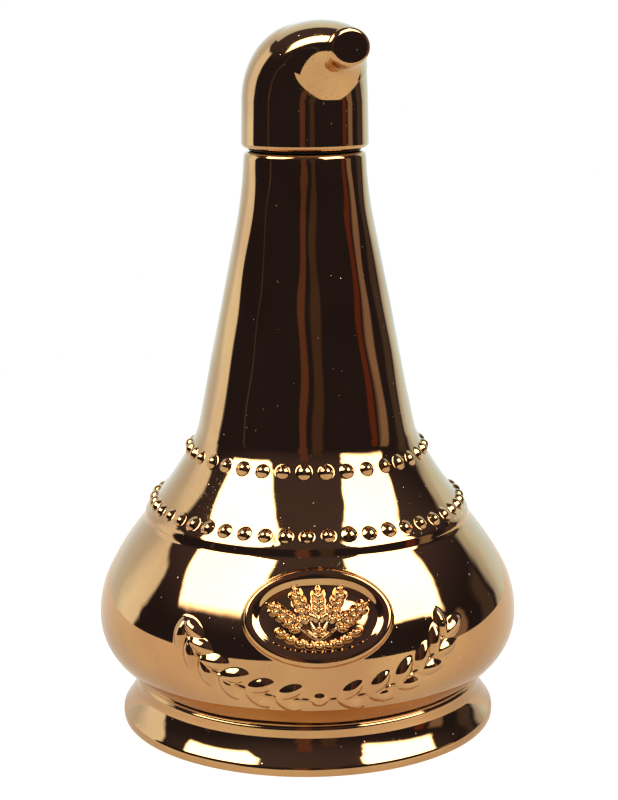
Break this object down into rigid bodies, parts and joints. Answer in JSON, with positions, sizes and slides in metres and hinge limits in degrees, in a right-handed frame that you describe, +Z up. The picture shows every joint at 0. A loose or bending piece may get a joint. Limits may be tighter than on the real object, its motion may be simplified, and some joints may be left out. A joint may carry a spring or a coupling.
{
  "type": "pot still spirit decanter",
  "caption": "Hollow ceramic decanter shaped as a copper pot still, with a riveted band, an oval medallion and a lift-off stopper formed as the still's head.",
  "frame": {"origin": "on the decanter's axis, in the plane that the foot stands on", "axes": "+Z up along the axis; -Y faces the front, where the medallion is"},
  "size_m": [0.1336, 0.135, 0.2209],
  "materials": {
    "lustre_glaze": "mirror copper lustre over slip-cast stoneware",
    "natural_cork": "natural cork with fine dark pores",
    "washer_rubber": "matt dark rubber"
  },
  "bodies": {
    "decanter": {"decanter_body": "lustre_glaze"},
    "washer": {"seat_washer": "washer_rubber"},
    "stopper": {"stopper_head": "lustre_glaze", "stopper_cork": "natural_cork"}
  },
  "joints": [
    {"name": "stopper_turn", "type": "hinge", "parent": "decanter", "child": "washer", "pos_m": [0, 0, 0.1817], "axis": [0, 0, 1], "continuous": true},
    {"name": "stopper_lift", "type": "slide", "parent": "washer", "child": "stopper", "axis": [0, 0, 1], "range_m": [0, 0.06]}
  ]
}
